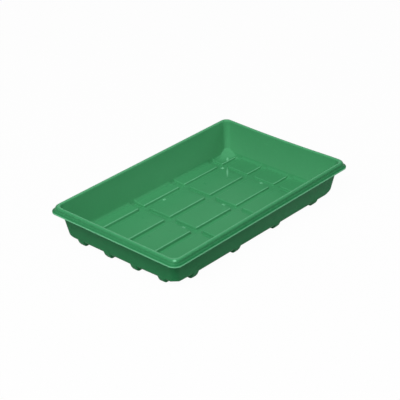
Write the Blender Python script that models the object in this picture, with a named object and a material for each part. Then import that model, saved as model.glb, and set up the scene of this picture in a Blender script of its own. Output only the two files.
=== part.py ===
# Seed tray: one thin moulded sheet of green plastic, 380 x 240 x 57 mm.
# The inside face of the sheet is shaped first, its underside is the same shape one wall
# thickness further out, and the two meet along the lower edge of the lip.
# Origin: middle of the footprint, on the surface that the tray stands on. X is the long side.
import math

import bmesh
import bpy
from mathutils import Vector

# Overall size
TRAY_LENGTH = 0.380
TRAY_WIDTH = 0.240
TRAY_HEIGHT = 0.057
WALL_THICKNESS = 0.0010

# Rim: a crest with a broad shoulder that drops to a sloping flange, whose edge is an upright hem
LIP_DROP = 0.0096
HEM_HEIGHT = 0.0019
FLANGE_RISE = 0.0040
SHOULDER_RADIUS = 0.0036
CREST_RADIUS = 0.0023
CREST_INSET = 0.0074
LIP_CORNER_RADIUS = 0.0130
CREST_CORNER_RADIUS = 0.0105

# Side walls
WALL_DRAFT = math.radians(10.3)
WALL_CORNER_RADIUS = 0.0082
BASE_FILLET_RADIUS = 0.0058

# Floor: raised panels between channels, whose undersides are the runners that the tray stands on
PANEL_PITCH_X = 0.0874
PANEL_PITCH_Y = 0.0509
CHANNEL_WIDTH = 0.0112
CHANNEL_DEPTH = 0.0039
CHANNEL_SIDE_DRAFT = math.radians(12)
CHANNEL_TO_CORNER = 0.0020

# Flat facet across each bottom corner
FACET_TOP = 0.0140
FACET_LEAN = math.radians(55)

# Drain holes in the channel floors
DRAIN_DIAMETER = 0.0030

# Fineness of the rounded stretches
CORNER_STEPS = 8
CREST_STEPS = 4
FILLET_STEPS = 4
DRAIN_STEPS = 16

# Colour of the plastic, linear
TRAY_GREEN = (0.045, 0.270, 0.105, 1.0)
TRAY_ROUGHNESS = 0.35

CHANNEL_LEVEL = WALL_THICKNESS
PANEL_LEVEL = CHANNEL_LEVEL + CHANNEL_DEPTH
NUDGE = 1e-5


def arc(centre, radius, start, end, steps):
    """Points of a round stretch in the plane of a cross-section."""
    angles = [start + (end - start) * step / steps for step in range(steps + 1)]
    return [centre + radius * Vector((math.cos(a), math.sin(a))) for a in angles]


def parallel(points, distance):
    """The line of points moved sideways, to its right, by a distance."""
    normals = [Vector((b.y - a.y, a.x - b.x)).normalized() for a, b in zip(points, points[1:])]
    mitres = [(n + m) / (1 + n.dot(m)) for n, m in zip(normals, normals[1:])]
    mitres = [normals[0]] + mitres + [normals[-1]]
    return [point + distance * mitre for point, mitre in zip(points, mitres)]


def wall_section():
    """Inside face from the hem over the crest and down to the floor, as (inset, height) points.

    Also gives the corner radius that the tray has at each point, and where the base fillet starts.
    """
    hem_foot = Vector((0.0, TRAY_HEIGHT - LIP_DROP))
    hem_top = hem_foot + Vector((0.0, HEM_HEIGHT))
    crease = hem_foot + Vector((CREST_INSET - SHOULDER_RADIUS, FLANGE_RISE))
    shoulder = Vector((CREST_INSET, TRAY_HEIGHT - SHOULDER_RADIUS))
    crest = Vector((CREST_INSET, TRAY_HEIGHT - CREST_RADIUS))
    crest_arc = arc(shoulder, SHOULDER_RADIUS, math.pi, math.pi / 2, CREST_STEPS)[:-1]
    crest_arc += arc(crest, CREST_RADIUS, math.pi / 2, WALL_DRAFT, CREST_STEPS)
    wall_top = crest_arc[-1]
    fillet_height = PANEL_LEVEL + BASE_FILLET_RADIUS
    fall = wall_top.y - fillet_height
    fillet_inset = wall_top.x + (BASE_FILLET_RADIUS + fall * math.sin(WALL_DRAFT)) / math.cos(WALL_DRAFT)
    fillet = arc(Vector((fillet_inset, fillet_height)), BASE_FILLET_RADIUS,
                 math.pi + WALL_DRAFT, 1.5 * math.pi, FILLET_STEPS)
    section = [hem_foot, hem_top, crease] + crest_arc + fillet
    fillet_start = len(section) - len(fillet)
    radii = [LIP_CORNER_RADIUS] * 2 + [CREST_CORNER_RADIUS] * (1 + len(crest_arc))
    for point in fillet:
        radii.append(max(WALL_CORNER_RADIUS - (point.x - fillet[0].x), WALL_THICKNESS))
    return section, radii, fillet_start


def channel_section():
    """Cross-section of a channel between two panels, as (distance from middle, height) points."""
    half_top = CHANNEL_WIDTH / 2
    half_floor = half_top - CHANNEL_DEPTH * math.tan(CHANNEL_SIDE_DRAFT)
    right = ((half_floor, CHANNEL_LEVEL), (half_top, PANEL_LEVEL), (CHANNEL_WIDTH, PANEL_LEVEL))
    left = [(-distance, height) for distance, height in reversed(right)]
    return [Vector(point) for point in left + list(right)]


def channel_places(size, pitch):
    """Middles of the channels that cross one side of the tray, evenly about its centre."""
    section, radii, _ = wall_section()
    room = size - 2 * (section[-1].x + radii[-1] + CHANNEL_WIDTH / 2 + CHANNEL_TO_CORNER)
    count = 1 + int(room / pitch)
    return [(place - (count - 1) / 2) * pitch for place in range(count)]


def add_ring(bm, inset, height, radius):
    """A closed outline of the tray, its corners rounded, as a loop of edges."""
    verts = []
    for quadrant, (side_x, side_y) in enumerate(((1, 1), (-1, 1), (-1, -1), (1, -1))):
        centre = Vector((side_x * (TRAY_LENGTH / 2 - inset - radius),
                         side_y * (TRAY_WIDTH / 2 - inset - radius), height))
        for step in range(CORNER_STEPS + 1):
            angle = (quadrant + step / CORNER_STEPS) * math.pi / 2
            verts.append(bm.verts.new(centre + radius * Vector((math.cos(angle), math.sin(angle), 0.0))))
    return [bm.edges.new(pair) for pair in zip(verts, verts[1:] + verts[:1])]


def cut_lines(bm, faces, places, offsets, across):
    """Cuts the faces along the edges of every channel that runs at right angles to across."""
    edges = {e for f in faces for e in f.edges}
    verts = {v for f in faces for v in f.verts}
    geometry = list(faces) + list(edges) + list(verts)
    for place in places:
        for offset in offsets:
            cut = bmesh.ops.bisect_plane(bm, geom=geometry, dist=NUDGE / 10,
                                         plane_co=across * (place + offset), plane_no=across)
            geometry = cut["geom"]
    return [item for item in geometry if isinstance(item, bmesh.types.BMFace)]


def sink_channels(bm, faces, half_floor, floor_edge):
    """Moves the channel floors down, and their ends down and in along the sloping walls."""
    step_in = CHANNEL_DEPTH * math.tan(WALL_DRAFT)
    half_x = TRAY_LENGTH / 2 - floor_edge - NUDGE
    half_y = TRAY_WIDTH / 2 - floor_edge - NUDGE
    across = channel_places(TRAY_LENGTH, PANEL_PITCH_X)
    along = channel_places(TRAY_WIDTH, PANEL_PITCH_Y)
    for vert in {v for f in faces for v in f.verts}:
        in_x = any(abs(vert.co.x - place) < half_floor + NUDGE for place in across)
        in_y = any(abs(vert.co.y - place) < half_floor + NUDGE for place in along)
        if not (in_x or in_y):
            continue
        if in_x and abs(vert.co.y) > half_y:
            vert.co.y -= math.copysign(step_in, vert.co.y)
        if in_y and abs(vert.co.x) > half_x:
            vert.co.x -= math.copysign(step_in, vert.co.x)
        vert.co.z -= CHANNEL_DEPTH


def mitre_panel_corners(bm, level):
    """Splits the face at each panel's corner from the corner down to the channel floor."""
    for face in list(bm.faces):
        high = [v for v in face.verts if abs(v.co.z - level) < NUDGE]
        low = [v for v in face.verts if abs(v.co.z - level + CHANNEL_DEPTH) < NUDGE]
        if len(high) == 1 and len(low) == 3:
            corner = list(face.verts).index(high[0])
            bmesh.utils.face_split(face, high[0], face.verts[(corner + 2) % 4])


def cut_facets(bm, drop):
    """Cuts each bottom corner off flat and closes the cut with one face."""
    section, radii, fillet_start = wall_section()
    wall_top = section[fillet_start - 1]
    inset = wall_top.x + (wall_top.y - FACET_TOP) * math.tan(WALL_DRAFT)
    rounding = WALL_CORNER_RADIUS * (1 - math.sqrt(0.5))
    for side_x, side_y in ((1, 1), (-1, 1), (-1, -1), (1, -1)):
        top = Vector((side_x * (TRAY_LENGTH / 2 - inset - rounding),
                      side_y * (TRAY_WIDTH / 2 - inset - rounding), FACET_TOP))
        slope = math.cos(FACET_LEAN) * math.sqrt(0.5)
        normal = Vector((side_x * slope, side_y * slope, -math.sin(FACET_LEAN)))
        cut = bmesh.ops.bisect_plane(bm, geom=bm.verts[:] + bm.edges[:] + bm.faces[:], dist=NUDGE / 10,
                                     plane_co=top + normal * drop, plane_no=normal, clear_outer=True)
        rim = [item for item in cut["geom_cut"] if isinstance(item, bmesh.types.BMEdge)]
        bmesh.ops.contextual_create(bm, geom=rim)


def add_face_of_sheet(bm, drop):
    """One side of the sheet: its inside face, or the face that lies a distance of drop outside it."""
    section, radii, fillet_start = wall_section()
    on_floor = section[-1] + Vector((BASE_FILLET_RADIUS, 0.0))
    moved = parallel(section + [on_floor], drop)[:-1]
    radii = [radius + before.x - after.x for radius, before, after in zip(radii, section, moved)]
    rings = [add_ring(bm, point.x, point.y, radius) for point, radius in zip(moved, radii)]
    lower = []
    for index, (outer, inner) in enumerate(zip(rings, rings[1:])):
        made = bmesh.ops.bridge_loops(bm, edges=outer + inner)
        if index >= fillet_start:
            lower += made["faces"]
    lower += bmesh.ops.contextual_create(bm, geom=rings[-1])["faces"]
    channel = parallel(channel_section(), drop)
    offsets = [point.x for point in channel[1:-1]]
    lower = cut_lines(bm, lower, channel_places(TRAY_LENGTH, PANEL_PITCH_X), offsets, Vector((1, 0, 0)))
    lower = cut_lines(bm, lower, channel_places(TRAY_WIDTH, PANEL_PITCH_Y), offsets, Vector((0, 1, 0)))
    sink_channels(bm, lower, offsets[2], moved[-1].x)
    mitre_panel_corners(bm, PANEL_LEVEL - drop)
    cut_facets(bm, drop)


def drain_places():
    """A hole in the middle of each cross channel and outer long channel, and at the outer crossings."""
    across = channel_places(TRAY_LENGTH, PANEL_PITCH_X)
    along = channel_places(TRAY_WIDTH, PANEL_PITCH_Y)
    places = {(x, 0.0) for x in across}
    places |= {(0.0, y) for y in (along[0], along[-1])}
    places |= {(x, y) for x in (across[0], across[-1]) for y in (along[0], along[-1])}
    return sorted(places)


def make_plastic():
    plastic = bpy.data.materials.new("green_plastic")
    plastic.use_nodes = True
    shader = plastic.node_tree.nodes["Principled BSDF"]
    shader.inputs["Base Color"].default_value = TRAY_GREEN
    shader.inputs["Roughness"].default_value = TRAY_ROUGHNESS
    shader.inputs["Metallic"].default_value = 0.0
    plastic.diffuse_color = TRAY_GREEN
    return plastic


def make_object(name, bm):
    mesh = bpy.data.meshes.new(name)
    bm.to_mesh(mesh)
    bm.free()
    made = bpy.data.objects.new(name, mesh)
    bpy.context.scene.collection.objects.link(made)
    return made


def make_drain_cutter():
    bm = bmesh.new()
    for x, y in drain_places():
        drill = bmesh.ops.create_cone(bm, cap_ends=True, segments=DRAIN_STEPS, radius1=DRAIN_DIAMETER / 2,
                                      radius2=DRAIN_DIAMETER / 2, depth=4 * WALL_THICKNESS)
        bmesh.ops.translate(bm, verts=drill["verts"], vec=(x, y, CHANNEL_LEVEL / 2))
    cutter = make_object("drain_cutter", bm)
    cutter.hide_render = True
    cutter.display_type = "WIRE"
    return cutter


def make_tray():
    bm = bmesh.new()
    for drop in (WALL_THICKNESS, 0.0):
        side = bmesh.new()
        add_face_of_sheet(side, drop)
        if drop:
            bmesh.ops.reverse_faces(side, faces=side.faces[:])
        spare = bpy.data.meshes.new("side")
        side.to_mesh(spare)
        side.free()
        bm.from_mesh(spare)
        bpy.data.meshes.remove(spare)
    bmesh.ops.bridge_loops(bm, edges=[edge for edge in bm.edges if edge.is_boundary])
    tray = make_object("tray", bm)
    tray.data.materials.append(make_plastic())
    drains = tray.modifiers.new("drains", "BOOLEAN")
    drains.operation = "DIFFERENCE"
    drains.solver = "EXACT"
    drains.object = make_drain_cutter()
    tray.data.shade_smooth()
    tray.data.set_sharp_from_angle(angle=math.radians(25))
    return tray


for old in list(bpy.data.objects):
    bpy.data.objects.remove(old)

make_tray()
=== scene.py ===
import math

import bmesh
import bpy
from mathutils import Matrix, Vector


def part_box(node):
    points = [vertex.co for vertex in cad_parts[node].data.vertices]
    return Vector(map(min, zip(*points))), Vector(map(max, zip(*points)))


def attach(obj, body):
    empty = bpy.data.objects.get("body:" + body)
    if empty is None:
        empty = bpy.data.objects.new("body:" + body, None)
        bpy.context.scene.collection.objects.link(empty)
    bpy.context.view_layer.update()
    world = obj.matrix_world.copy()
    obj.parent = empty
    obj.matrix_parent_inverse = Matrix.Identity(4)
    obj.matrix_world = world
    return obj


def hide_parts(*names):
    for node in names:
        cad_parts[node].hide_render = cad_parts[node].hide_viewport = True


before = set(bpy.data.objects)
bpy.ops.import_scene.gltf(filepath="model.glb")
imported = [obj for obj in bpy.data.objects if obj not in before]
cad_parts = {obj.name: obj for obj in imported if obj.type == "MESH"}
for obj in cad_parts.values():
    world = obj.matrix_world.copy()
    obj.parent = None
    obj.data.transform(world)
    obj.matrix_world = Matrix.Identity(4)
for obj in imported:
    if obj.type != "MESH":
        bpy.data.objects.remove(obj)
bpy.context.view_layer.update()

trayLow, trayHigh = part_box("tray")
scene = bpy.context.scene
print("frame loaded:", ", ".join(sorted(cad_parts)))


# Tray: one thin moulded sheet, its upper face first, then its thickness

tray = {
    "length": trayHigh.x - trayLow.x,
    "width": trayHigh.y - trayLow.y,
    "height": trayHigh.z,
    "thickness": 0.0010,
    "footThickness": 0.0021,
    "footThickening": 0.0012,  # height over which the sheet thickens towards a foot
    # lip and walls
    "lipDrop": 0.0099,  # from the top of the crest down to the foot of the hem
    "hemHeight": 0.0021,
    "hemRounding": 0.0008,
    "flangeRise": 0.0040,  # from the foot of the hem up to the crease
    "flangeRounding": 0.0024,
    "crestInset": 0.0074,  # from the hem in to the top of the crest
    "shoulderRadius": 0.0036,
    "crestRadius": 0.0023,
    "wallDraft": math.radians(10.3),
    "filletRadius": 0.0058,  # between the walls and the floor
    "lipCorner": 0.0130,  # the corners' radii as seen from above
    "crestCorner": 0.0105,
    "wallCorner": 0.0082,
    "leastCorner": 0.0010,
    "facetTop": 0.0140,
    "facetLean": math.radians(55),
    "rimBevel": 0.00035,
    # floor
    "channelsAcross": (-0.1311, -0.0437, 0.0437, 0.1311),
    "channelsAlong": (-0.07635, -0.02545, 0.02545, 0.07635),
    "channelWidth": 0.0112,
    "channelDepth": 0.0036,
    "channelDraft": math.radians(12),
    "channelRounding": 0.0011,
    "panelCorner": 0.0024,
    "panelMargin": 0.0006,  # flat band beside a panel's rounded edge
    "footMargin": 0.0001,  # a panel's corner is turned this far past the foot of its sides
    "drainDiameter": 0.0030,
    "collarDiameter": 0.0046,
    "collarHeight": 0.0007,
    "drainSquare": 0.0034,  # half the side of the square that is opened for a drain
    # warp
    "panelRise": 0.0008,
    "panelTilt": (-0.009, -0.004),
    "cornerLift": 0.0034,
    "cornerReach": (0.0600, 0.1000),
    "endBow": 0.0030,
    "bowStart": 0.1640,
    "bowMiddle": 0.0150,
    "bowReach": 0.1050,
    "bowCuts": (-0.088, -0.061, -0.043, -0.014, 0.014, 0.043, 0.061, 0.088),
    # painted highlights along the edges, and painted shade on the flange, in the creases and at the foot
    # of the sides
    "hemHighlight": 1.0,
    "flangeHighlight": 0.6,
    "flangeHighlightFall": 6.0,
    "flangePaintedShade": 1.2,
    "flangePaintedShadeRise": 8.0,
    "flangePaintedShadeFull": 0.30,  # the share of the flange by which its painted shade is full
    "creasePaintedShade": 0.80,
    "shortSidePaintedShade": 0.70,
    "crestHighlight": 0.66,
    "panelHighlight": 0.80,
    "sideHighlight": 0.08,
    "facetHighlight": 0.21,
    "collarGlint": 1.0,
    "panelPaintedShade": 0.20,
    "footPaintedShade": 0.22,
    # fineness of the mesh
    "cornerSteps": 14,
    "roundSteps": 5,
    "lipSteps": 4,
    "channelSteps": 4,
    "drainSteps": 24,
    "bevelSteps": 2,
    "sharpAngle": math.radians(32),
    "bevelAngle": math.radians(65),
    "supportGap": 0.0008,
    "joinGap": 0.00004,
    "cutGap": 0.000001,
    "tolerance": 0.00001,
}
channelLevel = tray["footThickness"]
panelLevel = channelLevel + tray["channelDepth"]


# draws the section on to a point
def lineTo(bm, point):
    bm.verts.ensure_lookup_table()
    made = bmesh.ops.extrude_vert_indiv(bm, verts=[bm.verts[-1]])
    made["verts"][0].co = point


# draws a flat stretch, with a point close to each end so that it stays flat when shaded
def flatTo(bm, point, gap):
    bm.verts.ensure_lookup_table()
    start = bm.verts[-1].co.copy()
    step = (point - start).normalized() * gap
    for stop in (start + step, point - step, point):
        lineTo(bm, stop)


# draws a round stretch about a centre
def turnTo(bm, centre, angle, steps):
    bm.verts.ensure_lookup_table()
    bmesh.ops.spin(bm, geom=[bm.verts[-1]], cent=centre, axis=(0, 1, 0), angle=angle, steps=steps)


# draws on to a corner between two slopes and round it
def roundCorner(bm, corner, slopeIn, slopeOut, radius, steps):
    turn = slopeOut - slopeIn
    tangent = radius * math.tan(abs(turn) / 2)
    start = corner - tangent * Vector((math.cos(slopeIn), 0, math.sin(slopeIn)))
    left = math.copysign(radius, turn)
    lineTo(bm, start)
    turnTo(bm, start + left * Vector((-math.sin(slopeIn), 0, math.cos(slopeIn))), -turn, steps)


def sectionPoints(bm):
    bm.verts.ensure_lookup_table()
    points = [v.co.copy() for v in bm.verts]
    bm.free()
    return points


# from the foot of the hem over the crest and down to the floor: x is the inset, z the height
def wallSection():
    hemFoot = Vector((0, 0, tray["height"] - tray["lipDrop"]))
    hemTop = hemFoot + Vector((0, 0, tray["hemHeight"]))
    crease = hemFoot + Vector((tray["crestInset"] - tray["shoulderRadius"], 0, tray["flangeRise"]))
    crest = Vector((tray["crestInset"], 0, tray["height"] - tray["crestRadius"]))
    shoulder = Vector((tray["crestInset"], 0, tray["height"] - tray["shoulderRadius"]))
    lipTop = shoulder - Vector((tray["shoulderRadius"], 0, 0))
    flangeSlope = math.atan2(crease.z - hemTop.z, crease.x - hemTop.x)

    bm = bmesh.new()
    bm.verts.new(hemFoot)
    roundCorner(bm, hemTop, math.pi / 2, flangeSlope, tray["hemRounding"], tray["lipSteps"])
    lineTo(bm, hemTop + (crease - hemTop) * tray["flangePaintedShadeFull"])
    roundCorner(bm, crease, flangeSlope, math.pi / 2, tray["flangeRounding"], tray["lipSteps"])
    lineTo(bm, lipTop)
    turnTo(bm, shoulder, math.pi / 2, tray["roundSteps"])
    turnTo(bm, crest, math.pi / 2 - tray["wallDraft"], tray["roundSteps"])
    bm.verts.ensure_lookup_table()
    wallTop = bm.verts[-1].co.copy()

    draft, radius = tray["wallDraft"], tray["filletRadius"]
    filletHeight = panelLevel + radius
    fall = wallTop.z - filletHeight
    filletInset = wallTop.x + (radius + fall * math.sin(draft)) / math.cos(draft)
    centre = Vector((filletInset, 0, filletHeight))
    wallFoot = centre - radius * Vector((math.cos(draft), 0, math.sin(draft)))
    flatTo(bm, wallFoot, tray["supportGap"])
    filletStart = len(bm.verts) - 1
    turnTo(bm, centre, draft - math.pi / 2, tray["roundSteps"])

    points = sectionPoints(bm)
    radii = [cornerRadius(point, lipTop, wallTop, wallFoot) for point in points]
    tones = [rimTone(point, crease, lipTop) for point in points]
    # the fillet gets a little painted shade
    for index in range(filletStart + 1, len(points) - 1):
        tones[index] = (0.0, tray["footPaintedShade"])
    print("wall section:", len(points), "points")
    return points, radii, tones, wallTop, filletStart


# the radius of the tray's corners at a point of the section
def cornerRadius(point, lipTop, wallTop, wallFoot):
    if point.x <= lipTop.x:
        return tray["lipCorner"] + (tray["crestCorner"] - tray["lipCorner"]) * point.x / lipTop.x
    if point.x <= wallTop.x:
        return tray["crestCorner"]
    if point.x <= wallFoot.x:
        share = (point.x - wallTop.x) / (wallFoot.x - wallTop.x)
        return tray["crestCorner"] + (tray["wallCorner"] - tray["crestCorner"]) * share
    return max(tray["wallCorner"] - (point.x - wallFoot.x), tray["leastCorner"])


# how much painted highlight and how much painted shade the rim gets at a point of the section
def rimTone(point, crease, lipTop):
    if point.x < tray["tolerance"]:
        return tray["hemHighlight"], 0.0
    if point.x < crease.x - tray["tolerance"]:
        # the painted shade darkens fast inside the hem and thins out again towards the crease
        share = point.x / crease.x
        highlight = max(0.0, tray["flangeHighlight"] - tray["flangeHighlightFall"] * share)
        thinned = tray["flangePaintedShade"] + (tray["creasePaintedShade"] - tray["flangePaintedShade"]) * (2 * share - 1)
        return highlight, min(tray["flangePaintedShade"], tray["flangePaintedShadeRise"] * share, thinned)
    if point.x <= tray["crestInset"]:
        share = (point.x - lipTop.x) / (tray["crestInset"] - lipTop.x)
        return tray["crestHighlight"] * max(0.0, 2.0 * share - 1.0), tray["creasePaintedShade"] * (1.0 - share)
    share = (point.x - tray["crestInset"]) / tray["crestRadius"]
    return tray["crestHighlight"] * max(0.0, 1.0 - share), 0.0


# from a panel's top down to the channel's floor: x is the distance from the middle, z the height
def channelSide():
    radius = tray["channelRounding"]
    turn = math.pi / 2 - tray["channelDraft"]
    tangent = radius * math.tan(turn / 2)
    top = Vector((tray["channelWidth"] / 2, 0, 0))
    foot = top - tray["channelDepth"] * Vector((math.tan(tray["channelDraft"]), 0, 1))
    rise = (top - foot).normalized()
    bm = bmesh.new()
    bm.verts.new(top + Vector((tangent, 0, 0)))
    turnTo(bm, top + Vector((tangent, 0, -radius)), -turn, tray["channelSteps"])
    lineTo(bm, foot + rise * tangent)
    turnTo(bm, foot + Vector((-tangent, 0, radius)), turn, tray["channelSteps"])
    return sectionPoints(bm)


# a rounded rectangle: its edges, and the face inside them
def addRing(bm, inset, height, radius):
    before = set(bm.faces)
    corners = bmesh.ops.create_grid(bm, x_segments=1, y_segments=1, size=0.5)["verts"]
    size = (tray["length"] - 2 * inset, tray["width"] - 2 * inset, 1)
    bmesh.ops.scale(bm, vec=size, verts=corners)
    bmesh.ops.translate(bm, vec=(0, 0, height), verts=corners)
    bmesh.ops.bevel(bm, geom=corners, offset=radius, offset_type="OFFSET", segments=tray["cornerSteps"],
                    profile=0.5, affect="VERTICES", material=-1)
    face = (set(bm.faces) - before).pop()
    return list(face.edges), face


# stands a ring on each point of the section and joins them: gives back the faces of the floor and fillet
def addWalls(bm, points, radii, tones, filletStart):
    highlight, paintedShade = bm.verts.layers.float["edgeHighlight"], bm.verts.layers.float["paintedShade"]
    rings = []
    for point, radius, tone in zip(points, radii, tones):
        edges, face = addRing(bm, point.x, point.z, radius)
        for vert in face.verts:
            # less painted shade along the short sides
            turned = max(0.0, abs(vert.co.y) - (tray["width"] / 2 - point.x - radius)) / radius
            share = tray["shortSidePaintedShade"] + (1.0 - tray["shortSidePaintedShade"]) * min(1.0, turned) ** 2
            vert[highlight], vert[paintedShade] = tone[0], tone[1] * share
        rings.append(edges)
        if len(rings) < len(points):
            bmesh.ops.delete(bm, geom=[face], context="FACES_ONLY")
    lower = [face]
    for index, (outer, inner) in enumerate(zip(rings, rings[1:])):
        made = bmesh.ops.bridge_loops(bm, edges=outer + inner)
        if index >= filletStart:
            lower += made["faces"]
    print("tray rings:", len(rings))
    return lower


# cuts the faces by planes at right angles to the axis and gives all the faces back
def cutAcross(bm, faces, places, axis):
    edges = {e for f in faces for e in f.edges}
    verts = {v for f in faces for v in f.verts}
    geometry = list(faces) + list(edges) + list(verts)
    for place in places:
        cut = bmesh.ops.bisect_plane(bm, geom=geometry, dist=tray["cutGap"],
                                     plane_co=axis * place, plane_no=axis)
        geometry = cut["geom"]
    return [item for item in geometry if isinstance(item, bmesh.types.BMFace)]


# cuts the floor wherever a channel's side, a panel's corner or a drain will need points
def cutFloor(bm, faces, side):
    offsets = [point.x for point in side]
    offsets += [side[0].x + tray["panelMargin"], tray["channelWidth"] / 2 + tray["panelCorner"]]
    offsets += [tray["drainSquare"], 0.0]
    offsets = sorted({round(o, 7) for o in offsets} | {-round(o, 7) for o in offsets})
    for channels, axis in (("channelsAcross", (1, 0, 0)), ("channelsAlong", (0, 1, 0))):
        places = [place + offset for place in tray[channels] for offset in offsets]
        places += [-tray["drainSquare"], tray["drainSquare"]]
        faces = cutAcross(bm, faces, places, Vector(axis))
    return faces


# presses the channels into the floor, with their ends running down the walls
def sinkChannels(bm, faces, floorEdge, side):
    highlight, paintedShade = bm.verts.layers.float["edgeHighlight"], bm.verts.layers.float["paintedShade"]
    reach, half, tolerance = tray["panelCorner"], tray["channelWidth"] / 2, tray["tolerance"]
    steps = tray["channelSteps"]
    edgeStart, edgeTurned, edgeEnd, sideEnd = side[0].x, side[steps - 1].x, side[steps].x, side[-1].x
    settled = half - sideEnd + reach + tray["footMargin"]
    for vert in {v for f in faces for v in f.verts}:
        x = min(tray["channelsAcross"], key=lambda place: abs(vert.co.x - place))
        y = min(tray["channelsAlong"], key=lambda place: abs(vert.co.y - place))
        offX, offY = vert.co.x - x, vert.co.y - y
        gapX, gapY = reach - (abs(offX) - half), reach - (abs(offY) - half)
        near, far = max(gapX, gapY), min(gapX, gapY)
        onFloor = abs(vert.co.z - panelLevel) < tolerance
        distance = half + reach - near
        drop = dropAt(side, distance)
        # a panel's edges get a painted highlight, most along its near long side, and painted shade lies
        # below its two near sides
        facing = onFloor and (offY > 0 if gapY > gapX else offX > 0)
        if edgeTurned - tolerance < distance < edgeStart + tolerance:
            vert[highlight] = tray["panelHighlight"] if facing and gapY > gapX else tray["sideHighlight"]
        if facing and sideEnd - tolerance < distance < edgeEnd:
            vert[paintedShade] = tray["panelPaintedShade"]
        if onFloor and far > 0 and near < settled:
            # a panel's corner is turned on an arc, down to the foot of its sides
            turn = far / near * math.pi / 4
            along, aside = near * math.cos(turn), near * math.sin(turn)
            if gapX < gapY:
                along, aside = aside, along
            vert.co.x = x + math.copysign(reach - along + half, offX)
            vert.co.y = y + math.copysign(reach - aside + half, offY)
        if drop:
            stepIn = drop * math.tan(tray["wallDraft"])
            if abs(vert.co.y) > tray["width"] / 2 - floorEdge - tolerance:
                vert.co.y -= math.copysign(stepIn, vert.co.y)
            if abs(vert.co.x) > tray["length"] / 2 - floorEdge - tolerance:
                vert.co.x -= math.copysign(stepIn, vert.co.x)
        vert.co.z -= drop


# how far the floor drops at a distance from the middle of a channel
def dropAt(side, distance):
    if distance >= side[0].x:
        return 0.0
    for outer, inner in zip(side, side[1:]):
        if distance >= inner.x:
            share = (outer.x - distance) / (outer.x - inner.x)
            return -(outer.z + (inner.z - outer.z) * share)
    return tray["channelDepth"]


def drainPlaces():
    across, along = tray["channelsAcross"], tray["channelsAlong"]
    places = [(x, 0.0) for x in across]
    places += [(0.0, y) for y in (along[0], along[-1])]
    places += [(x, y) for x in (across[0], across[-1]) for y in (along[0], along[-1])]
    return places


def inDrainSquare(verts, x, y):
    reach = tray["drainSquare"] + tray["tolerance"]
    return all(abs(v.co.x - x) < reach and abs(v.co.y - y) < reach for v in verts)


def squareEdges(bm, x, y):
    return [e for e in bm.edges if e.is_boundary and inDrainSquare(e.verts, x, y)]


# opens a round hole with a raised collar in a square of the channel floor
def openDrains(bm):
    highlight = bm.verts.layers.float["edgeHighlight"]
    circles = ((tray["collarDiameter"], channelLevel),
               (tray["drainDiameter"], channelLevel + tray["collarHeight"]))
    for x, y in drainPlaces():
        inside = [f for f in bm.faces if inDrainSquare(f.verts, x, y)]
        bmesh.ops.delete(bm, geom=inside, context="FACES")
        # whole sides, then sides in halves, are cut until the square has as many edges as the circle
        for parts in (1, 2):
            least = 2 * tray["drainSquare"] / parts - tray["tolerance"]
            long = [e for e in squareEdges(bm, x, y) if e.calc_length() > least]
            bmesh.ops.subdivide_edges(bm, edges=long, cuts=tray["drainSteps"] // (4 * parts) - 1)
        rim = squareEdges(bm, x, y)
        for diameter, height in circles:
            circle = bmesh.ops.create_circle(bm, segments=tray["drainSteps"], radius=diameter / 2)
            bmesh.ops.translate(bm, verts=circle["verts"], vec=(x, y, height))
            ring = list({e for v in circle["verts"] for e in v.link_edges})
            bmesh.ops.bridge_loops(bm, edges=rim + ring)
            rim = ring
            # both circles of the collar carry a painted glint
            for vert in circle["verts"]:
                vert[highlight] = tray["collarGlint"]
    print("drains:", len(drainPlaces()))


# zero up to the panels and one at the top of the crest
def riseAt(vert):
    return max(0.0, vert.co.z - panelLevel) / (tray["height"] - panelLevel)


# the floor panels stand a little higher towards the near corner, and the walls take that up
def liftPanels(bm):
    for vert in bm.verts:
        lift = tray["panelRise"] + tray["panelTilt"][0] * vert.co.x + tray["panelTilt"][1] * vert.co.y
        low = min(1.0, max(0.0, vert.co.z - channelLevel) / tray["channelDepth"])
        vert.co.z += lift * low * max(0.0, 1.0 - riseAt(vert))


# cuts each bottom corner off flat
def cutFacets(bm, wallTop):
    highlight = bm.verts.layers.float["edgeHighlight"]
    inset = wallTop.x + (wallTop.z - tray["facetTop"]) * math.tan(tray["wallDraft"])
    rounding = tray["wallCorner"] * (1 - math.sqrt(0.5))
    slope = math.cos(tray["facetLean"]) * math.sqrt(0.5)
    for sideX, sideY in ((1, 1), (-1, 1), (-1, -1), (1, -1)):
        top = Vector((sideX * (tray["length"] / 2 - inset - rounding),
                      sideY * (tray["width"] / 2 - inset - rounding), tray["facetTop"]))
        normal = Vector((sideX * slope, sideY * slope, -math.sin(tray["facetLean"])))
        cut = bmesh.ops.bisect_plane(bm, geom=bm.verts[:] + bm.edges[:] + bm.faces[:], dist=tray["cutGap"],
                                     plane_co=top, plane_no=normal, clear_outer=True)
        rim = [item for item in cut["geom_cut"] if isinstance(item, bmesh.types.BMEdge)]
        bmesh.ops.contextual_create(bm, geom=rim)
        # the facet's rim gets a painted highlight
        for vert in {v for e in rim for v in e.verts}:
            vert[highlight] = max(vert[highlight], tray["facetHighlight"])


# the near bottom corner is warped up off the ground, feet and all
def liftCorner(bm):
    for vert in bm.verts:
        alongX = (vert.co.x + tray["length"] / 2) / tray["cornerReach"][0]
        alongY = (vert.co.y + tray["width"] / 2) / tray["cornerReach"][1]
        share = max(0.0, 1.0 - math.hypot(alongX, alongY))
        vert.co.z += tray["cornerLift"] * share * max(0.0, 1.0 - vert.co.z / tray["height"])


# the far short side bows inwards a little towards its top
def bowEnd(bm):
    end = [f for f in bm.faces if all(v.co.x > tray["bowStart"] for v in f.verts)]
    cutAcross(bm, end, tray["bowCuts"], Vector((0, 1, 0)))
    for vert in bm.verts:
        if vert.co.x > tray["bowStart"]:
            aside = (vert.co.y - tray["bowMiddle"]) / tray["bowReach"]
            vert.co.x -= tray["endBow"] * riseAt(vert) * max(0.0, 1 - aside ** 2)
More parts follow.
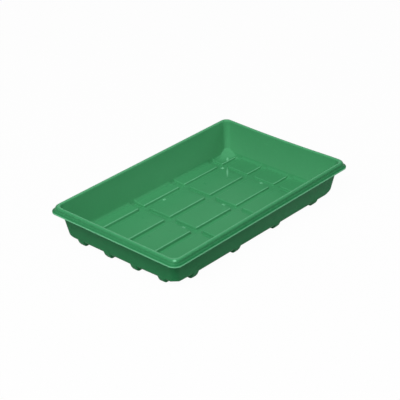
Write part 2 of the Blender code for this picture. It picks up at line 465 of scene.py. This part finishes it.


# the tray's upper face, with its painted highlights and painted shade
def makeUpperFace():
    points, radii, tones, wallTop, filletStart = wallSection()
    side = channelSide()
    bm = bmesh.new()
    for name in ("edgeHighlight", "paintedShade"):
        bm.verts.layers.float.new(name)
    lower = addWalls(bm, points, radii, tones, filletStart)
    lower = cutFloor(bm, lower, side)
    sinkChannels(bm, lower, points[-1].x, side)
    openDrains(bm)
    liftPanels(bm)
    cutFacets(bm, wallTop)
    liftCorner(bm)
    bowEnd(bm)
    bmesh.ops.remove_doubles(bm, verts=bm.verts[:], dist=tray["joinGap"])
    bmesh.ops.recalc_face_normals(bm, faces=bm.faces[:])
    if sum(f.normal.z * f.calc_area() for f in bm.faces) < 0:
        bmesh.ops.reverse_faces(bm, faces=bm.faces[:])
    print("tray sheet:", len(bm.faces), "faces")
    return bm


def makeTray():
    bm = makeUpperFace()
    foot = bm.verts.layers.deform.new()
    for vert in bm.verts:
        vert[foot][0] = max(0.0, 1.0 - max(0.0, vert.co.z - channelLevel) / tray["footThickening"])
    mesh = bpy.data.meshes.new("seedTray")
    bm.to_mesh(mesh)
    bm.free()
    mesh.shade_smooth()
    mesh.set_sharp_from_angle(angle=tray["sharpAngle"])
    piece = bpy.data.objects.new("seedTray", mesh)
    piece.vertex_groups.new(name="foot")
    scene.collection.objects.link(piece)

    sheet = piece.modifiers.new("sheet", "SOLIDIFY")
    sheet.thickness = tray["footThickness"]
    sheet.vertex_group = "foot"
    sheet.thickness_vertex_group = tray["thickness"] / tray["footThickness"]
    sheet.offset = -1
    sheet.use_even_offset = True
    sheet.use_quality_normals = True
    sheet.material_offset = 1
    rim = piece.modifiers.new("rim", "BEVEL")
    rim.width = tray["rimBevel"]
    rim.segments = tray["bevelSteps"]
    rim.limit_method = "ANGLE"
    rim.angle_limit = tray["bevelAngle"]
    return piece


# Plastic: semi-gloss green above, the same sheet duller below, its colour darkened there as painted shade

plastic = {
    "green": (0.048, 0.266, 0.108, 1.0),
    "lightGreen": (0.055, 0.284, 0.118, 1.0),
    # the pale green of the painted highlights, painted glints and painted reflection, and of the scuffs
    "highlightAndScuffGreen": (0.155, 0.470, 0.260, 1.0),
    # the dark green of the painted shade
    "paintedShadeGreen": (0.004, 0.100, 0.030, 1.0),
    "highlightShare": 0.88,
    "paintedShadeShare": 0.78,
    "clouds": (13.0, 3.0),  # scale and detail, as for each noise here
    "cloudRange": (0.3, 0.7),
    "mottle": (95.0, 4.0),
    "mottleShare": 0.35,
    "patches": (260.0, 3.0),
    "patchRange": (0.25, 0.75),
    "patchLevels": (0.7, 1.0),
    "scuffs": (1.0, 2.0),
    "scuffStretch": (1400.0, 55.0, 300.0),
    "scuffRange": (0.66, 0.78),
    "scuffClouds": (0.4, 0.9),  # scuffs show only where the clouds are light
    "scuffShare": 0.20,
    "glintFade": (0.5, 1.0),
    "roughness": (0.27, 0.37),
    "roughnessRange": (0.3, 0.7),
    "wornRoughness": 0.12,
    "waves": (38.0, 1.0),
    "waveDepth": 0.0006,
    "waveStrength": 0.5,
    "grain": (1500.0, 2.0),
    "grainDepth": 0.00002,
    "grainStrength": 1.0,
}
# a painted reflection and painted glints: a long reflection streak and a short glint by the far corner,
# and a glint on the near corner's crest
paintedGlints = [
    {"place": (0.1239, 0.0604, 0.0040), "half": (0.0215, 0.0017, 0.0100), "turn": 0.709, "share": 0.90},
    {"place": (0.1548, 0.0865, 0.0060), "half": (0.0076, 0.0021, 0.0120), "turn": 0.709, "share": 1.0},
    {"place": (-0.1820, -0.1115, 0.0555), "half": (0.0022, 0.0030, 0.0022), "turn": 0.785, "share": 1.0},
]
upperLook = {"paintedShadeTint": (1.0, 1.0, 1.0), "gloss": 0.04, "roughnessRise": 0.0, "paintedGlints": paintedGlints}
# the underside's colour is darkened as painted shade
shadedUnderLook = {"paintedShadeTint": (0.36, 0.58, 0.50), "gloss": 0.03, "roughnessRise": 0.08, "paintedGlints": []}


def tinted(colour, paintedShadeTint):
    return tuple(level * share for level, share in zip(colour, paintedShadeTint)) + (1.0,)


def addNoise(nodes, links, place, scale, detail):
    noise = nodes.new("ShaderNodeTexNoise")
    noise.inputs["Scale"].default_value = scale
    noise.inputs["Detail"].default_value = detail
    links.new(place, noise.inputs["Vector"])
    return noise.outputs["Fac"]


def addRange(nodes, links, value, fromRange, toRange):
    level = nodes.new("ShaderNodeMapRange")
    level.inputs["From Min"].default_value, level.inputs["From Max"].default_value = fromRange
    level.inputs["To Min"].default_value, level.inputs["To Max"].default_value = toRange
    links.new(value, level.inputs["Value"])
    return level.outputs["Result"]


def addMath(nodes, links, operation, first, second):
    step = nodes.new("ShaderNodeMath")
    step.operation = operation
    for socket, value in zip(step.inputs, (first, second)):
        if isinstance(value, float):
            socket.default_value = value
        else:
            links.new(value, socket)
    return step.outputs[0]


def addMix(nodes, links, share, first, second):
    mix = nodes.new("ShaderNodeMix")
    mix.data_type = "RGBA"
    for name, value in (("Factor", share), ("A", first), ("B", second)):
        socket = next(i for i in mix.inputs if i.name == name and i.enabled)
        if isinstance(value, (float, tuple)):
            socket.default_value = value
        else:
            links.new(value, socket)
    return next(o for o in mix.outputs if o.enabled)


def addBump(nodes, links, height, depth, strength):
    bump = nodes.new("ShaderNodeBump")
    bump.inputs["Distance"].default_value = depth
    bump.inputs["Strength"].default_value = strength
    links.new(height, bump.inputs["Height"])
    return bump


# an attribute of the sheet that comes and goes in patches
def addTone(nodes, links, name, patches, share):
    attribute = nodes.new("ShaderNodeAttribute")
    attribute.attribute_name = name
    tone = addMath(nodes, links, "MULTIPLY", attribute.outputs["Fac"], patches)
    return addMath(nodes, links, "MULTIPLY", tone, share)


# long thin scratches, in the lighter clouds only
def addScuffs(nodes, links, place, clouds):
    stretch = nodes.new("ShaderNodeVectorMath")
    stretch.operation = "MULTIPLY"
    stretch.inputs[1].default_value = plastic["scuffStretch"]
    links.new(place, stretch.inputs[0])
    scuffs = addNoise(nodes, links, stretch.outputs[0], *plastic["scuffs"])
    scuffs = addRange(nodes, links, scuffs, plastic["scuffRange"], (0.0, 1.0))
    lightClouds = addRange(nodes, links, clouds, plastic["scuffClouds"], (0.0, 1.0))
    return addMath(nodes, links, "MULTIPLY", scuffs, lightClouds)


# the painted glint's share inside a stretched ball about its place, fading to zero at the ball's edge
def addPaintedGlint(nodes, links, place, glint):
    fit = nodes.new("ShaderNodeMapping")
    fit.vector_type = "TEXTURE"
    fit.inputs["Location"].default_value = glint["place"]
    fit.inputs["Rotation"].default_value = (0.0, 0.0, glint["turn"])
    fit.inputs["Scale"].default_value = glint["half"]
    links.new(place, fit.inputs["Vector"])
    away = nodes.new("ShaderNodeVectorMath")
    away.operation = "LENGTH"
    links.new(fit.outputs["Vector"], away.inputs[0])
    return addRange(nodes, links, away.outputs["Value"], plastic["glintFade"], (glint["share"], 0.0))


def makePlastic(name, look):
    material = bpy.data.materials.new(name)
    material.use_nodes = True
    nodes, links = material.node_tree.nodes, material.node_tree.links
    shader = nodes["Principled BSDF"]
    place = nodes.new("ShaderNodeTexCoord").outputs["Object"]
    green, lightGreen, highlightAndScuffGreen = (tinted(plastic[key], look["paintedShadeTint"])
                                    for key in ("green", "lightGreen", "highlightAndScuffGreen"))

    # patterns: slow clouds, small mottling, painted shade in the creases, painted highlights on the edges,
    # faint scuffs
    clouds = addNoise(nodes, links, place, *plastic["clouds"])
    clouds = addRange(nodes, links, clouds, plastic["cloudRange"], (0.0, 1.0))
    mottle = addNoise(nodes, links, place, *plastic["mottle"])
    patches = addNoise(nodes, links, place, *plastic["patches"])
    patches = addRange(nodes, links, patches, plastic["patchRange"], plastic["patchLevels"])
    paintedShade = addTone(nodes, links, "paintedShade", patches, plastic["paintedShadeShare"])
    paintedHighlight = addTone(nodes, links, "edgeHighlight", patches, plastic["highlightShare"])
    scuffs = addScuffs(nodes, links, place, clouds)

    # colour: two close greens, darker with painted shade, paler with painted highlights, painted glints
    # and a painted reflection, and in scuffs
    cloudPart = addMath(nodes, links, "MULTIPLY", clouds, 1.0 - plastic["mottleShare"])
    mottlePart = addMath(nodes, links, "MULTIPLY", mottle, plastic["mottleShare"])
    colour = addMix(nodes, links, addMath(nodes, links, "ADD", cloudPart, mottlePart), green, lightGreen)
    colour = addMix(nodes, links, paintedShade, colour, plastic["paintedShadeGreen"])
    colour = addMix(nodes, links, paintedHighlight, colour, highlightAndScuffGreen)
    for glint in look["paintedGlints"]:
        colour = addMix(nodes, links, addPaintedGlint(nodes, links, place, glint), colour, highlightAndScuffGreen)
    scuffPart = addMath(nodes, links, "MULTIPLY", scuffs, plastic["scuffShare"])
    colour = addMix(nodes, links, scuffPart, colour, highlightAndScuffGreen)
    links.new(colour, shader.inputs["Base Color"])

    # sheen: smoother where the sheet is clean, duller on the edges with painted highlights and in scuffs
    low, high = (value + look["roughnessRise"] for value in plastic["roughness"])
    roughness = addRange(nodes, links, mottle, plastic["roughnessRange"], (low, high))
    dull = addMath(nodes, links, "MAXIMUM", paintedHighlight, scuffs)
    dull = addMath(nodes, links, "MULTIPLY", dull, plastic["wornRoughness"])
    links.new(addMath(nodes, links, "ADD", roughness, dull), shader.inputs["Roughness"])
    shader.inputs["Specular IOR Level"].default_value = look["gloss"]

    # relief: fine grain on a slightly wavy sheet
    waves = addNoise(nodes, links, place, *plastic["waves"])
    waves = addBump(nodes, links, waves, plastic["waveDepth"], plastic["waveStrength"])
    grain = addNoise(nodes, links, place, *plastic["grain"])
    grain = addBump(nodes, links, grain, plastic["grainDepth"], plastic["grainStrength"])
    links.new(waves.outputs["Normal"], grain.inputs["Normal"])
    links.new(grain.outputs["Normal"], shader.inputs["Normal"])
    print("plastic:", name)
    return material


seedTray = makeTray()
seedTray.data.materials.append(makePlastic("greenPlastic", upperLook))
seedTray.data.materials.append(makePlastic("greenPlasticShadedUnder", shadedUnderLook))
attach(seedTray, "root")
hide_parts("tray")
print("tray placed")


# Studio: pale floor, soft lamps, camera

studio = {
    "floorSize": 6.0,
    "floorColour": (0.62, 0.62, 0.62, 1.0),
    "floorGlow": 0.97,
    "worldStrength": 0.0,
    "lampSize": 1.4,
}
lamps = {
    "left": {"place": (-2.06, 0.0, 2.45), "power": 38.0},
    "front": {"place": (-1.53, -1.38, 2.45), "power": 74.0},
    "right": {"place": (1.53, -1.38, 2.45), "power": 6.0},
    "lowLeft": {"place": (-2.90, 0.0, 1.35), "power": 17.0},
    "lowRight": {"place": (2.16, -1.94, 1.35), "power": 20.0},
}
view = {
    "place": (-1.2992, -1.163198, 0.995069),
    "turn": (1.064795, 0.014681, -0.846099),
    "lens": 124.693,
    "sensorWidth": 36.0,
    "clip": (0.1, 10.0),
}


def addLamp(name, place, power):
    lamp = bpy.data.lights.new(name, "AREA")
    lamp.energy = power
    lamp.size = studio["lampSize"]
    lampObject = bpy.data.objects.new(name, lamp)
    lampObject.location = place
    lampObject.rotation_euler = (-Vector(place)).to_track_quat("-Z", "Y").to_euler()
    scene.collection.objects.link(lampObject)


# one where the camera, a reflection or a clear material looks, and zero for the light itself
def seenDirectly(nodes, links):
    path = nodes.new("ShaderNodeLightPath")
    seen = path.outputs["Is Camera Ray"]
    for ray in ("Is Glossy Ray", "Is Transmission Ray"):
        seen = addMath(nodes, links, "MAXIMUM", seen, path.outputs[ray])
    return seen


def makeFloor():
    bm = bmesh.new()
    bmesh.ops.create_grid(bm, x_segments=1, y_segments=1, size=studio["floorSize"] / 2)
    mesh = bpy.data.meshes.new("floor")
    bm.to_mesh(mesh)
    bm.free()
    floor = bpy.data.objects.new("floor", mesh)
    scene.collection.objects.link(floor)
    material = bpy.data.materials.new("paleFloor")
    material.use_nodes = True
    nodes, links = material.node_tree.nodes, material.node_tree.links
    nodes.clear()
    output = nodes.new("ShaderNodeOutputMaterial")
    mixed = nodes.new("ShaderNodeMixShader")
    diffuse = nodes.new("ShaderNodeBsdfDiffuse")
    diffuse.inputs["Color"].default_value = studio["floorColour"]
    glow = nodes.new("ShaderNodeEmission")
    share = addMath(nodes, links, "MULTIPLY", seenDirectly(nodes, links), studio["floorGlow"])
    links.new(share, mixed.inputs["Fac"])
    links.new(diffuse.outputs[0], mixed.inputs[1])
    links.new(glow.outputs[0], mixed.inputs[2])
    links.new(mixed.outputs[0], output.inputs["Surface"])
    mesh.materials.append(material)


def makeWorld():
    world = bpy.data.worlds.new("studio")
    scene.world = world
    world.use_nodes = True
    nodes, links = world.node_tree.nodes, world.node_tree.links
    background = nodes["Background"]
    background.inputs["Color"].default_value = (1, 1, 1, 1)
    levels = (studio["worldStrength"], 1.0)
    strength = addRange(nodes, links, seenDirectly(nodes, links), (0.0, 1.0), levels)
    links.new(strength, background.inputs["Strength"])


def makeCamera():
    data = bpy.data.cameras.new("camera")
    data.lens = view["lens"]
    data.sensor_width = view["sensorWidth"]
    data.clip_start, data.clip_end = view["clip"]
    camera = bpy.data.objects.new("camera", data)
    camera.location = view["place"]
    camera.rotation_euler = view["turn"]
    scene.collection.objects.link(camera)
    scene.camera = camera


makeFloor()
makeWorld()
for name, lamp in lamps.items():
    addLamp(name, lamp["place"], lamp["power"])
makeCamera()
scene.view_settings.view_transform = "Standard"
print("studio ready")
